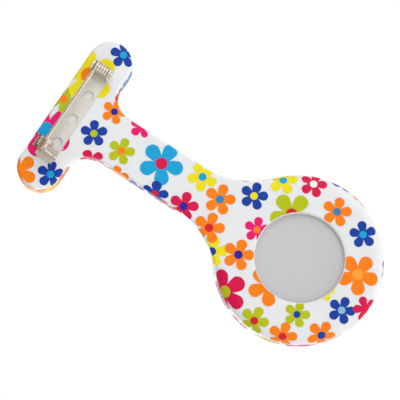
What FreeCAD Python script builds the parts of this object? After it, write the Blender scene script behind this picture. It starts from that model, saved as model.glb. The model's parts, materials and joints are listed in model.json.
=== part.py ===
"""Nurse's fob watch: a silicone hanger with a bar pin and a quartz watch in its pocket.

Upright as worn: +Z points up the stem to the T-shaped top, the dial faces -Y and the
pin faces +Y.  The origin is on the back of the T-bar, at the middle of the pin.
"""
import FreeCAD, Part
import Sketcher
import math
import os
import re

DOC = FreeCAD.newDocument("fob_watch")
SHEET = DOC.addObject("Spreadsheet::Sheet", "Dims")
X_AXIS = FreeCAD.Vector(1, 0, 0)
Y_AXIS = FreeCAD.Vector(0, 1, 0)
ALONG_Y = FreeCAD.Rotation(X_AXIS, -90)
ALONG_X = FreeCAD.Rotation(Y_AXIS, 90)
ALONG_Z = FreeCAD.Rotation()

DIMENSIONS = {
    # silicone hanger
    "head_drop": 66.1, "head_radius": 21.0, "head_thick": 10.4, "head_round": 2.4,
    "bar_drop": 0.2, "bar_length": 42.5, "bar_width": 11.1, "bar_thick": 7.2,
    "bar_round": 2.2,
    "stem_half": 6.3, "stem_thick": 4.8, "stem_round": 1.3,
    "bar_blend": 6.3, "head_blend": 18.0,
    "rear_opening": 11.0, "rear_wall": 1.4, "front_opening": 15.8, "front_lip": 1.1,
    "pocket_radius": 17.2, "crown_recess": 2.2, "crown_recess_end": 19.9,
    # bar pin
    "plate_length": 28.0, "plate_width": 5.0, "plate_thick": 0.6, "plate_sunk": 0.4,
    "hole_radius": 1.3, "hole_pitch": 7.0, "hole_middle": 1.4, "hole_drop": 0.6,
    "needle_height": 2.9, "needle_radius": 0.42, "needle_point": 3.3,
    "rivet_offset": 12.5, "rivet_radius": 0.5, "ear_thick": 0.4, "ear_gap": 4.1,
    "ear_radius": 1.45, "coil_turns": 5, "coil_radius": 0.97, "coil_pitch": 0.74,
    "coil_wire": 0.40, "root_radius": 0.28, "root_gap": 0.13,
    "catch_middle": 11.2, "catch_length": 3.2, "catch_radius": 2.0,
    "catch_bore": 1.5, "catch_slot": 1.2, "lock_bore": 0.55, "lock_play": 0.05,
    "tab_reach": 4.4, "tab_width": 1.1, "tab_thick": 0.8, "rib_height": 0.22,
    "rib_width": 0.5, "end_radius": 3.2, "end_thick": 0.5,
    # the needle leaves the top turn of its coil, this far above the plate's middle
    "needle_rise": 1.48,
    # watch case
    "case_radius": 17.1, "case_rear": 1.45, "case_front": 8.6, "case_bore": 14.9,
    "ledge_radius": 13.4, "ledge_rear": 7.4, "back_radius": 15.6, "back_thick": 0.9,
    "snap_radius": 14.85, "snap_wall": 0.6, "snap_depth": 0.9, "fit_gap": 0.05,
    "bezel_radius": 15.6, "bezel_front": 11.0, "bezel_round": 0.9,
    "glass_radius": 13.3, "glass_rear": 9.5, "glass_front": 10.9, "gasket_wall": 0.35,
    "dial_radius": 14.7, "dial_thick": 0.4, "dial_hole": 1.0,
    "ring_inner": 11.6, "ring_outer": 14.8, "ring_rear": 3.3,
    # movement
    "plate_rear": 5.8, "movement_front": 7.0, "movement_radius": 11.5,
    "bridge_front": 4.35, "bridge_rear": 3.95, "bridge_radius": 4.7,
    "stem_level": 4.75, "winding_radius": 0.5, "crown_round": 0.3,
    "cell_radius": 3.4, "cell_thick": 2.6,
    # gear train
    "train_module": 0.1, "motion_module": 0.12, "tooth_play": 0.10,
    "fourth_teeth": 60, "fourth_leaves": 8, "third_teeth": 60, "third_leaves": 8,
    "centre_teeth": 64, "fifth_teeth": 30, "fifth_leaves": 10, "rotor_leaves": 6,
    "cannon_leaves": 10, "minute_teeth": 30, "minute_leaves": 8, "hour_teeth": 32,
    "pivot_radius": 0.12, "pivot_play": 0.03,
    # hands
    "hour_reach": 7.4, "minute_reach": 11.2, "second_reach": 12.0, "hand_thick": 0.18,
    # the time shown at rest, in seconds after twelve
    "shown_time": 36576,
}
for row, (alias, value) in enumerate(DIMENSIONS.items(), start=1):
    SHEET.set("A%d" % row, alias)
    SHEET.set("B%d" % row, str(value))
    SHEET.setAlias("B%d" % row, alias)
DOC.recompute()

NODES = []


def size(alias):
    """A driving dimension, read back from the sheet."""
    return float(SHEET.get(alias))


def rule(text):
    """Point every dimension named in an expression at the sheet."""
    return re.sub("[a-z][a-z_]+", lambda found: "Dims." + found.group(), text)


def place(thing, x="0", y="0", z="0", turn=ALONG_Z):
    """Set where an object stands, with each coordinate bound to the sheet."""
    thing.Placement = FreeCAD.Placement(FreeCAD.Vector(), turn)
    for axis, text in (("x", x), ("y", y), ("z", z)):
        thing.setExpression("Placement.Base." + axis, rule(text))
    return thing


def node(thing, label):
    """Name a finished sub-part and put it on the list of files to write."""
    thing.Label = label
    NODES.append(thing)
    return thing


def rod(name, radius, length, x="0", y="0", z="0", turn=ALONG_Y):
    """A cylinder that starts at the given place and runs along its axis."""
    made = DOC.addObject("Part::Cylinder", name)
    made.setExpression("Radius", rule(radius))
    made.setExpression("Height", rule(length))
    return place(made, x, y, z, turn)


def block(name, length, depth, height, x="0", y="0", z="0"):
    """A box whose lowest corner is at the given place: length X, depth Y, height Z."""
    made = DOC.addObject("Part::Box", name)
    made.setExpression("Length", rule(length))
    made.setExpression("Width", rule(depth))
    made.setExpression("Height", rule(height))
    return place(made, x, y, z)


def cut(name, base, tool):
    made = DOC.addObject("Part::Cut", name)
    made.Base = base
    made.Tool = tool
    return made


def fuse(name, *pieces):
    made = DOC.addObject("Part::MultiFuse", name)
    made.Shapes = list(pieces)
    return made


def common(name, one, other):
    made = DOC.addObject("Part::MultiCommon", name)
    made.Shapes = [one, other]
    return made


def cut_all(name, base, *tools):
    """Cut several tools out of a base, one fused tool at a time."""
    if len(tools) == 1:
        return cut(name, base, tools[0])
    return cut(name, base, fuse(name + "_tools", *tools))


def rounded(name, base, radius, picks):
    """Round the edges of a base that the test picks out."""
    DOC.recompute()
    made = DOC.addObject("Part::Fillet", name)
    made.Base = base
    edges = base.Shape.Edges
    made.Edges = [(number, size(radius), size(radius))
                  for number, edge in enumerate(edges, start=1) if picks(edge)]
    return made


def plane_sketch(body, name, role):
    """A sketch on one of a body's own origin planes."""
    sketch = body.newObject("Sketcher::SketchObject", name)
    planes = [item for item in body.Origin.OriginFeatures if item.Role == role]
    sketch.AttachmentSupport = (planes[0], [""])
    sketch.MapMode = "FlatFace"
    return sketch


# ---------------------------------------------------------------- silicone hanger

def silicone():
    """Head, stem and T-bar moulded in one piece, with a pocket for the watch."""
    head = rod("head_block", "head_radius", "head_thick", y="-head_thick", z="-head_drop")
    head = rounded("head_shape", head, "head_round", lambda edge: edge.Length > 100)

    half_bar = "bar_length / 2 - bar_width / 2"
    middle = block("bar_middle", "bar_length - bar_width", "bar_thick", "bar_width",
                   "-(" + half_bar + ")", "-bar_thick", "-bar_width / 2 - bar_drop")
    left = rod("bar_left", "bar_width / 2", "bar_thick", "-(" + half_bar + ")", "-bar_thick",
               "-bar_drop")
    right = rod("bar_right", "bar_width / 2", "bar_thick", half_bar, "-bar_thick", "-bar_drop")
    bar = fuse("bar_block", middle, left, right)
    bar.Refine = True
    bar = rounded("bar_shape", bar, "bar_round",
                  lambda edge: abs(edge.tangentAt(edge.FirstParameter).y) < 0.1)

    stem = DOC.addObject("Part::Feature", "stem_shape")
    stem.Shape = stem_solid()

    body = fuse("hanger_block", head, bar, stem)
    tools = [
        rod("rear_window", "rear_opening", "rear_wall + 1", y="-rear_wall - 0.5",
            z="-head_drop"),
        rod("front_window", "front_opening", "front_lip + 1", y="-head_thick - 0.5",
            z="-head_drop"),
        rod("watch_pocket", "pocket_radius", "head_thick - rear_wall - front_lip",
            y="front_lip - head_thick", z="-head_drop"),
        rod("crown_pocket", "crown_recess", "crown_recess_end", y="-stem_level",
            z="-head_drop", turn=ALONG_X),
        block("pin_recess", "plate_length + 0.1", "plate_sunk + 1", "plate_width + 0.1",
              "-plate_length / 2 - 0.05", "-plate_sunk", "-plate_width / 2 - 0.05"),
    ]
    node(cut_all("hanger", body, *tools), "silicone_body")


def stem_solid():
    """The stem: straight sides that blend in arcs into the T-bar and the head."""
    half = size("stem_half")
    blend = size("bar_blend")
    flare = size("head_blend")
    top = -size("bar_width") / 2 - size("bar_drop")
    head_z = -size("head_drop")
    # the flare is tangent to the straight side and to the head's outline
    flare_x = half + flare
    reach = size("head_radius") + flare
    flare_z = head_z + math.sqrt(reach ** 2 - flare_x ** 2)
    share = size("head_radius") / reach
    meet = FreeCAD.Vector(flare_x * share, 0, head_z + (flare_z - head_z) * share)

    def point(x, z, side):
        return FreeCAD.Vector(side * x, 0, z)

    def side_edges(side):
        start = point(half + blend, top, side)
        bend = point(half + blend * (1 - math.sin(math.pi / 4)),
                     top - blend * (1 - math.cos(math.pi / 4)), side)
        straight = point(half, top - blend, side)
        lower = point(half, flare_z, side)
        angle = math.atan2(meet.z - flare_z, meet.x - flare_x)
        halfway = (angle - math.pi) / 2
        mid = point(flare_x + flare * math.cos(halfway),
                    flare_z + flare * math.sin(halfway), side)
        end = point(meet.x, meet.z, side)
        return [
            Part.LineSegment(point(half + blend, top + blend / 2, side), start).toShape(),
            Part.Arc(start, bend, straight).toShape(),
            Part.LineSegment(straight, lower).toShape(),
            Part.Arc(lower, mid, end).toShape(),
            Part.LineSegment(end, point(meet.x, head_z, side)).toShape(),
        ]

    ends = [
        Part.LineSegment(point(half + blend, top + blend / 2, 1),
                         point(half + blend, top + blend / 2, -1)).toShape(),
        Part.LineSegment(point(meet.x, head_z, 1), point(meet.x, head_z, -1)).toShape(),
    ]
    outline = Part.Wire(Part.sortEdges(side_edges(1) + side_edges(-1) + ends)[0])
    solid = Part.Face(outline).extrude(FreeCAD.Vector(0, -size("stem_thick"), 0))
    long_edges = [edge for edge in solid.Edges
                  if abs(edge.tangentAt(edge.FirstParameter).y) < 0.1]
    return solid.makeFillet(size("stem_round"), long_edges)


# ---------------------------------------------------------------- bar pin

def pin_plate():
    """Stamped plate with three holes and two ears that hold the needle's coil."""
    body = DOC.addObject("PartDesign::Body", "plate_body")
    outline = plane_sketch(body, "plate_outline", "XZ_Plane")
    half_x, half_z = size("plate_length") / 2, size("plate_width") / 2
    corners = [(-half_x, -half_z), (half_x, -half_z), (half_x, half_z), (-half_x, half_z)]
    for start, end in zip(corners, corners[1:] + corners[:1]):
        outline.addGeometry(Part.LineSegment(FreeCAD.Vector(*start, 0),
                                             FreeCAD.Vector(*end, 0)))
    for line in range(4):
        outline.addConstraint(
            Sketcher.Constraint("Coincident", line, 2, (line + 1) % 4, 1))
    for line, direction in enumerate(("Horizontal", "Vertical", "Horizontal", "Vertical")):
        outline.addConstraint(Sketcher.Constraint(direction, line))
    outline.addConstraint(Sketcher.Constraint("Symmetric", 0, 1, 1, 2, -1, 1))
    for line, kind, alias in ((0, "DistanceX", "plate_length"), (1, "DistanceY", "plate_width")):
        number = outline.addConstraint(Sketcher.Constraint(kind, line, 1, line, 2, size(alias)))
        outline.renameConstraint(number, alias)
        outline.setExpression("Constraints." + alias, "Dims." + alias)
    sheet_metal = body.newObject("PartDesign::Pad", "plate_pad")
    sheet_metal.Profile = outline
    sheet_metal.setExpression("Length", "Dims.plate_thick")
    sheet_metal.Reversed = True
    DOC.recompute()
    corner_edges = ["Edge%d" % number
                    for number, edge in enumerate(sheet_metal.Shape.Edges, start=1)
                    if abs(edge.tangentAt(edge.FirstParameter).y) > 0.9]
    corner = body.newObject("PartDesign::Fillet", "plate_corners")
    corner.Base = (sheet_metal, corner_edges)
    corner.Radius = 1.2
    place(body, y="-plate_sunk")

    ears = []
    for name, low in (("ear_upper", "ear_gap / 2"), ("ear_lower", "-ear_gap / 2 - ear_thick")):
        top = rod(name + "_round", "ear_radius", "ear_thick", "-rivet_offset",
                  "needle_height", low, ALONG_Z)
        web = block(name + "_web", "ear_radius * 2", "needle_height + plate_sunk",
                    "ear_thick", "-rivet_offset - ear_radius", "-plate_sunk", low)
        ears += [top, web]
    blank = fuse("plate_blank", body, *ears)
    holes = [rod("plate_hole_%d" % number, "hole_radius", "plate_thick + 1",
                 "hole_middle + hole_pitch * %d" % (number - 1), "-plate_sunk - 0.5",
                 "-hole_drop")
             for number in range(3)]
    holes.append(rod("rivet_hole", "rivet_radius", "ear_gap + ear_thick * 2 + 1",
                     "-rivet_offset", "needle_height",
                     "-ear_gap / 2 - ear_thick - 0.5", ALONG_Z))
    node(cut_all("plate", blank, *holes), "pin_plate")


def hinge_rivet():
    """Headed rivet through both ears and the coil."""
    reach = "ear_gap + ear_thick * 2"
    shank = rod("rivet_shank", "rivet_radius", reach, "-rivet_offset", "needle_height",
                "-ear_gap / 2 - ear_thick", ALONG_Z)
    heads = [rod("rivet_head_upper", "rivet_radius + 0.35", "0.3", "-rivet_offset",
                 "needle_height", "ear_gap / 2 + ear_thick", ALONG_Z),
             rod("rivet_head_lower", "rivet_radius + 0.35", "0.3", "-rivet_offset",
                 "needle_height", "-ear_gap / 2 - ear_thick - 0.3", ALONG_Z)]
    node(fuse("rivet", shank, *heads), "hinge_rivet")


def pin_needle():
    """Spring-wire needle: a coil round the rivet, a straight wire and a ground point."""
    wraps = []
    for number in range(int(size("coil_turns"))):
        level = "coil_pitch * %d" % (number - 2)
        wrap = DOC.addObject("Part::Torus", "coil_wrap_%d" % number)
        wrap.setExpression("Radius1", "Dims.coil_radius")
        wrap.setExpression("Radius2", "Dims.coil_wire")
        wraps.append(place(wrap, "-rivet_offset", "needle_height", level))
    # the root tapers, so that it lies inside the top turn
    root = DOC.addObject("Part::Cone", "needle_root")
    root.setExpression("Radius1", "Dims.root_radius")
    root.setExpression("Radius2", "Dims.needle_radius - 0.02")
    root.setExpression("Height", "Dims.coil_wire * 1.5 + Dims.root_gap")
    place(root, "coil_radius - coil_wire / 2 - rivet_offset", "needle_height", "needle_rise",
          ALONG_X)
    start = "coil_radius + coil_wire + root_gap - rivet_offset"
    wire = rod("needle_wire", "needle_radius",
               "catch_middle + catch_length / 2 - needle_point - (" + start + ")", start,
               "needle_height", "needle_rise", ALONG_X)
    tip = DOC.addObject("Part::Cone", "needle_tip")
    tip.setExpression("Radius1", "Dims.needle_radius")
    tip.Radius2 = 0.06
    tip.setExpression("Height", "Dims.needle_point")
    place(tip, "catch_middle + catch_length / 2 - needle_point", "needle_height",
          "needle_rise", ALONG_X)
    node(fuse("needle", wire, root, tip, *wraps), "pin_needle")


def catch():
    """Safety catch: a fixed ribbed barrel with a slotted turning sleeve inside."""
    start = "catch_middle - catch_length / 2"
    centre = {"y": "needle_height", "z": "needle_rise", "turn": ALONG_X}
    barrel = rod("catch_barrel", "catch_radius", "catch_length", start, **centre)
    ribs = []
    for number in range(3):
        ribs.append(rod("catch_rib_%d" % number, "catch_radius + rib_height", "rib_width",
                        start + " + (catch_length - rib_width) / 2 * %d" % number, **centre))
    foot = block("catch_foot", "catch_length", "needle_height - plate_thick + plate_sunk",
                 "catch_radius * 1.4", start, "plate_thick - plate_sunk",
                 "needle_rise - catch_radius * 0.7")
    end = rod("catch_end_disc", "end_radius", "end_thick",
              "catch_middle + catch_length / 2 - end_thick", "needle_height + 0.5",
              turn=ALONG_X)
    floor = block("catch_end_trim", "2", "end_radius * 2", "end_radius * 2 + 1",
                  "catch_middle + catch_length / 2 - 1.5",
                  "plate_thick - plate_sunk - end_radius * 2", "-end_radius - 0.5")
    long_bore = rod("catch_barrel_bore", "catch_bore", "catch_length + 2", start + " - 1",
                    **centre)
    slot = block("catch_barrel_slot", "catch_length + 2", "catch_radius + 3", "catch_slot",
                 start + " - 1", "needle_height", "needle_rise - catch_slot / 2")
    # the window lets the sleeve's tab swing a quarter turn, from -Z up to +Y
    window = block("tab_window", "tab_width + 0.3", "catch_radius * 2 + 1",
                   "catch_radius + 1.5", "catch_middle - tab_width / 2 - 0.15",
                   "needle_height - tab_thick / 2 - 0.15",
                   "needle_rise + catch_slot / 2 - catch_radius - 1.5")
    node(cut_all("barrel", fuse("barrel_blank", barrel, foot, cut("end_disc", end, floor),
                                *ribs), long_bore, slot, window), "catch_housing")

    sleeve = rod("lock_sleeve", "catch_bore - lock_play", "catch_length", start, **centre)
    tab = block("lock_tab", "tab_width", "tab_thick", "tab_reach",
                "catch_middle - tab_width / 2", "needle_height - tab_thick / 2",
                "needle_rise - tab_reach")
    bore = rod("lock_sleeve_bore", "lock_bore", "catch_length + 2", start + " - 1", **centre)
    slot = block("lock_sleeve_slot", "catch_length + 2", "tab_reach + 1", "catch_slot",
                 start + " - 1", "needle_height", "needle_rise - catch_slot / 2")
    node(cut_all("lock", fuse("lock_blank", sleeve, tab), bore, slot), "catch_lock")


# ---------------------------------------------------------------- watch case

def on_head(name, radius, rear, front, x="0", z="0"):
    """A disc on the watch's axis between two depths behind the hanger's back face."""
    return rod(name, radius, "(" + front + ") - (" + rear + ")", x, "-(" + front + ")",
               "(" + z + ") - head_drop")


def ring(name, outer, inner, rear, front):
    """A flat ring on the watch's axis."""
    return cut(name, on_head(name + "_outer", outer, rear, front),
               on_head(name + "_inner", inner, rear + " - 1", front + " + 1"))


def watch_case():
    """Turned case with its back, bezel, glass and seals."""
    blank = on_head("case_blank", "case_radius", "case_rear", "case_front")
    crown_bore = rod("case_crown_bore", "winding_radius + 0.35", "case_radius + 1",
                     y="-stem_level", z="-head_drop", turn=ALONG_X)
    node(cut_all("case", blank,
                 on_head("case_movement_bore", "case_bore", "case_rear", "ledge_rear"),
                 on_head("case_back_seat", "back_radius + fit_gap", "case_rear - 1",
                         "case_rear + back_thick + 0.2"),
                 on_head("case_front_hole", "ledge_radius", "ledge_rear - 1", "case_front + 1"),
                 crown_bore), "watch_case")

    back_rear, back_front = "case_rear", "case_rear + back_thick"
    snap = ring("back_snap", "snap_radius", "snap_radius - snap_wall", back_front + " - 0.1",
                back_front + " + snap_depth")
    node(fuse("back", on_head("back_disc", "back_radius", back_rear, back_front), snap),
         "case_back")
    node(ring("back_seal", "back_radius - 0.1", "case_bore + 0.05", back_front,
              back_front + " + 0.2"), "case_back_gasket")

    bezel = on_head("bezel_blank", "bezel_radius", "case_front", "bezel_front")
    bezel = rounded("bezel_turned", bezel, "bezel_round",
                    lambda edge: edge.Length > 90 and
                    abs(edge.CenterOfMass.y + size("bezel_front")) < 0.01)
    node(cut_all("bezel_ring", bezel,
                 on_head("bezel_window", "ledge_radius - 0.4", "case_front - 1",
                         "bezel_front + 1"),
                 on_head("bezel_seat", "glass_radius + gasket_wall", "glass_rear",
                         "bezel_front + 1")), "bezel")
    node(ring("glass_seal", "glass_radius + gasket_wall", "glass_radius", "glass_rear",
              "glass_front - 0.15"), "crystal_gasket")
    glass = on_head("glass_blank", "glass_radius", "glass_rear", "glass_front")
    glass = rounded("glass", glass, "gasket_wall",
                    lambda edge: edge.Length > 80 and
                    abs(edge.CenterOfMass.y + size("glass_front")) < 0.01)
    node(glass, "crystal")


def dial_and_hands():
    """Dial with two feet, and three hands pressed on their tubes."""
    dial = on_head("dial_disc", "dial_radius", "ledge_rear - dial_thick", "ledge_rear")
    feet = [on_head("dial_foot_%d" % number, "0.35", "movement_front - 0.8",
                    "movement_front + 0.1", x="%d * 9.6" % side)
            for number, side in enumerate((-1, 1))]
    hole = on_head("dial_centre_hole", "dial_hole", "ledge_rear - 1", "ledge_rear + 1")
    node(cut("dial_finished", fuse("dial_blank", dial, *feet), hole), "dial")

    # the dial reads upside down when worn, so twelve is at the foot and a turn is added
    clock = size("shown_time")
    hand("hour_hand", "hour_reach", 0.85, 1.5, "7.75", "0.74", 180 + clock / 120)
    hand("minute_hand", "minute_reach", 0.65, 1.2, "8.15", "0.5", 180 + clock / 10)
    hand("second_hand", "second_reach", 0.22, 0.75, "8.55", "0.15", 180 + clock * 6)


def hand(label, reach, width, boss, level, bore, turn):
    """A tapering blade with a round boss that grips its tube, turned clockwise from up."""
    front = level + " + hand_thick"
    thick = size("hand_thick")
    tail = boss * 1.9
    outline = [(-width / 2, -tail), (width / 2, -tail), (width * 0.62, size(reach) * 0.25),
               (width * 0.22, size(reach)), (-width * 0.22, size(reach)),
               (-width * 0.62, size(reach) * 0.25)]
    points = [FreeCAD.Vector(x, 0, z) for x, z in outline]
    blade = DOC.addObject("Part::Feature", label + "_blade")
    blade.Shape = Part.Face(Part.makePolygon(points + points[:1])).extrude(
        FreeCAD.Vector(0, -thick, 0))
    place(blade, y="-(" + level + ")", z="-head_drop",
          turn=FreeCAD.Rotation(Y_AXIS, turn % 360))
    disc = on_head(label + "_boss", "%g" % boss, level, front)
    hole = on_head(label + "_bore", bore, level + " - 1", front + " + 1")
    node(cut(label + "_pierced", fuse(label + "_blank", blade, disc), hole), label)


# ---------------------------------------------------------------- gears

def toothed(teeth, module, low, high, mesh_turn=0.0):
    """A spur wheel between two depths, its flanks thinned by the tooth play."""
    pitch = teeth * module / 2
    tip = pitch + 0.9 * module
    root = pitch - 1.15 * module
    step = 2 * math.pi / teeth
    half = step / 4 * (1 - size("tooth_play"))
    points = []
    for tooth in range(teeth):
        middle = tooth * step + mesh_turn
        for radius, share in ((root, -1.5), (pitch, -1.0), (tip, -0.42),
                              (tip, 0.42), (pitch, 1.0), (root, 1.5)):
            angle = middle + share * half
            points.append(FreeCAD.Vector(radius * math.sin(angle), -low,
                                         radius * math.cos(angle)))
    face = Part.Face(Part.makePolygon(points + points[:1]))
    return face.extrude(FreeCAD.Vector(0, low - high, 0))


def arbor(radius, low, high):
    """A plain shaft between two depths."""
    return Part.makeCylinder(radius, high - low, FreeCAD.Vector(0, -high, 0), Y_AXIS)


def wheel(label, x, z, *pieces, bore=None):
    """Fuse the pieces of a wheel, bore it if it is a tube, and stand it on its axis."""
    shape = pieces[0].multiFuse(list(pieces[1:])) if len(pieces) > 1 else pieces[0]
    if bore:
        shape = shape.cut(arbor(bore, 3.0, 9.4))
    made = DOC.addObject("Part::Feature", label + "_shape")
    made.Shape = shape.removeSplitter()
    made.Placement = FreeCAD.Placement(FreeCAD.Vector(x, 0, z - size("head_drop")), ALONG_Z)
    return node(made, label)


def polar(distance, degrees, x=0.0, z=0.0):
    """A point at a distance and a direction, counted from +X towards +Z."""
    angle = math.radians(degrees)
    return x + distance * math.cos(angle), z + distance * math.sin(angle)


def mesh_phase(driver_teeth, driver_phase, teeth, direction):
    """The turn that puts a gap of a wheel opposite a tooth of the wheel that drives it.

    direction is where the driven wheel stands, in degrees from +X towards +Z; a wheel's
    own turn is counted from +Z towards +X.
    """
    towards = math.pi / 2 - math.radians(direction)
    driver_step = 2 * math.pi / driver_teeth
    step = 2 * math.pi / teeth
    offset = (towards - driver_phase) / driver_step
    return towards + math.pi + step / 2 + (offset - round(offset)) * step


# ---------------------------------------------------------------- movement

FIFTH_PLACE = polar(size("train_module") * (size("fourth_teeth") + size("fifth_leaves")) / 2, 60)
THIRD_ANGLE = 140
TRAIN_REACH = size("train_module") * (size("third_teeth") + size("fourth_leaves")) / 2
THIRD_PLACE = polar(TRAIN_REACH, THIRD_ANGLE)
ROTOR_ANGLE = 20
ROTOR_PLACE = polar(size("train_module") * (size("fifth_teeth") + size("rotor_leaves")) / 2,
                    ROTOR_ANGLE, *FIFTH_PLACE)
MINUTE_ANGLE = 200
MOTION_REACH = size("motion_module") * (size("cannon_leaves") + size("minute_teeth")) / 2
MINUTE_PLACE = polar(MOTION_REACH, MINUTE_ANGLE)
BRIDGE_MIDDLE = (0.2, 1.4)
BRIDGE_SCREWS = [(-3.5, -1.9), (4.2, 0.9), (-0.6, 5.9)]
CLAMP_SCREWS = [(-7.4, -6.2), (1.0, -6.2)]
CELL_MIDDLE = (-3.2, -6.2)
LEVER_PIVOT = (8.25, 2.6)


def going_train():
    """Rotor to seconds, seconds to minutes, with the tooth counts of a real train."""
    module = size("train_module")
    pivot = size("pivot_radius")
    fourth = int(size("fourth_teeth"))
    fourth_leaves = int(size("fourth_leaves"))
    third_leaves = int(size("third_leaves"))
    fifth = int(size("fifth_teeth"))
    centre = int(size("centre_teeth"))
    wheel("fourth_wheel", 0, 0,
          toothed(fourth, module, 4.80, 4.95),
          toothed(fourth_leaves, module, 4.95, 5.32),
          arbor(0.15, 4.2, 8.73), arbor(pivot, 4.0, 4.3))
    leaves = int(size("fifth_leaves"))
    wheel("fifth_wheel", *FIFTH_PLACE,
          toothed(leaves, module, 4.65, 5.0, mesh_phase(fourth, 0, leaves, 60)),
          toothed(fifth, module, 4.50, 4.65),
          arbor(pivot, 4.0, 6.2))
    leaves = int(size("rotor_leaves"))
    wheel("rotor", *ROTOR_PLACE,
          toothed(leaves, module, 4.44, 4.75, mesh_phase(fifth, 0, leaves, ROTOR_ANGLE)),
          arbor(0.8, 5.1, 5.72), arbor(pivot, 4.0, 6.2))
    teeth = int(size("third_teeth"))
    wheel("third_wheel", *THIRD_PLACE,
          toothed(teeth, module, 5.10, 5.25,
                  mesh_phase(fourth_leaves, 0, teeth, THIRD_ANGLE)),
          toothed(third_leaves, 2 * TRAIN_REACH / (third_leaves + centre), 5.25, 5.70),
          arbor(pivot, 4.0, 6.2))
    wheel("centre_wheel", 0, 0,
          toothed(centre, 2 * TRAIN_REACH / (third_leaves + centre), 5.47, 5.65,
                  mesh_phase(third_leaves, 0, centre, THIRD_ANGLE + 180)),
          bore=0.5)


def motion_works():
    """Minutes to hours, in the recess under the dial."""
    module = size("motion_module")
    cannon = int(size("cannon_leaves"))
    minute = int(size("minute_teeth"))
    leaves = int(size("minute_leaves"))
    hour = int(size("hour_teeth"))
    wheel("cannon_pinion", 0, 0,
          arbor(0.5, 5.4, 8.33), toothed(cannon, module, 6.40, 6.64), bore=0.2)
    wheel("minute_wheel", *MINUTE_PLACE,
          toothed(minute, module, 6.42, 6.62, mesh_phase(cannon, 0, minute, MINUTE_ANGLE)),
          toothed(leaves, module, 6.62, 6.94), arbor(size("pivot_radius"), 5.9, 6.62))
    wheel("hour_wheel", 0, 0,
          toothed(hour, module, 6.70, 6.90,
                  mesh_phase(leaves, 0, hour, MINUTE_ANGLE + 180)),
          arbor(0.74, 6.75, 7.93), bore=0.57)


def at(place_xz):
    """A point on the movement as two expressions."""
    return {"x": "%.4f" % place_xz[0], "z": "%.4f" % place_xz[1]}


def main_plate():
    """Plate with posts for the bridge and the battery clamp, and the stem's bearing."""
    blank = [on_head("plate_disc", "movement_radius", "plate_rear", "movement_front")]
    for number, spot in enumerate(BRIDGE_SCREWS):
        blank.append(on_head("bridge_post_%d" % number, "0.6", "bridge_front",
                             "plate_rear + 0.1", **at(spot)))
    for number, spot in enumerate(CLAMP_SCREWS):
        blank.append(on_head("clamp_post_%d" % number, "0.5", "plate_rear - cell_thick",
                             "plate_rear + 0.1", **at(spot)))
    blank.append(on_head("lever_post", "0.3", "plate_rear - 0.7", "plate_rear + 0.1",
                         **at(LEVER_PIVOT)))
    blank.append(block("stem_bearing", "1.9", "plate_rear - stem_level + 0.9", "2.6",
                       "9.3", "-plate_rear", "-head_drop - 1.3"))
    tools = [
        on_head("motion_recess", "4.6", "6.35", "movement_front + 1"),
        on_head("centre_bearing", "0.55", "plate_rear - 1", "movement_front"),
        block("coil_recess", "7.2", "1.3", "2", "-3.6", "-plate_rear - 0.3",
              "7.2 - head_drop"),
        rod("stem_bearing_bore", "winding_radius + 0.03", "4", "8.5", "-stem_level",
            "-head_drop", ALONG_X),
    ]
    for name, spot in (("fifth", FIFTH_PLACE), ("third", THIRD_PLACE),
                       ("rotor", ROTOR_PLACE), ("minute", MINUTE_PLACE)):
        tools.append(on_head(name + "_pivot_hole", "pivot_radius + pivot_play",
                             "plate_rear - 1", "6.35", **at(spot)))
    for number, spot in enumerate(BRIDGE_SCREWS):
        tools.append(on_head("bridge_thread_%d" % number, "0.3", "bridge_front - 1", "5.3",
                             **at(spot)))
    for number, spot in enumerate(CLAMP_SCREWS):
        tools.append(on_head("clamp_thread_%d" % number, "0.3", "2.8", "5.3", **at(spot)))
    for number, side in enumerate((-1, 1)):
        tools.append(on_head("dial_foot_hole_%d" % number, "0.4", "6.1",
                             "movement_front + 1", x="%d * 9.6" % side))
    node(cut_all("movement_plate", fuse("movement_plate_blank", *blank), *tools),
         "main_plate")


def train_bridge():
    """Bridge over the train, held by three screws; two more hold the battery clamp."""
    plate = on_head("bridge_disc", "bridge_radius", "bridge_rear", "bridge_front",
                    *("%g" % value for value in BRIDGE_MIDDLE))
    ears = [on_head("bridge_ear_%d" % number, "0.8", "bridge_rear", "bridge_front", **at(spot))
            for number, spot in enumerate(BRIDGE_SCREWS)]
    holes = [on_head("bridge_screw_hole_%d" % number, "0.3", "3", "5", **at(spot))
             for number, spot in enumerate(BRIDGE_SCREWS)]
    for name, spot in (("fourth", (0, 0)), ("fifth", FIFTH_PLACE), ("third", THIRD_PLACE),
                       ("rotor", ROTOR_PLACE)):
        holes.append(on_head(name + "_jewel_hole", "pivot_radius + pivot_play", "3", "4.15",
                             **at(spot)))
        holes.append(on_head(name + "_jewel_sink", "0.2", "4.15", "5", **at(spot)))
    node(cut_all("bridge", fuse("bridge_blank", plate, *ears), *holes), "train_bridge")

    screws = []
    for group, seat, spots in (("bridge", "bridge_rear", BRIDGE_SCREWS),
                               ("clamp", "plate_rear - cell_thick - 0.2", CLAMP_SCREWS)):
        for number, spot in enumerate(spots):
            name = "%s_screw_%d" % (group, number)
            head = on_head(name + "_head", "0.5", seat + " - 0.25", seat, **at(spot))
            shank = on_head(name + "_shank", "0.28", seat + " - 0.05", seat + " + 1.2",
                            **at(spot))
            slot = block(name + "_slot", "1.2", "0.12", "0.14", "%g - 0.6" % spot[0],
                         "-(" + seat + ") + 0.14", "%g - 0.07 - head_drop" % spot[1])
            screws.append(cut(name, fuse(name + "_blank", head, shank), slot))
    group = DOC.addObject("Part::Compound", "screws")
    group.Links = screws
    node(group, "movement_screws")


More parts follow.
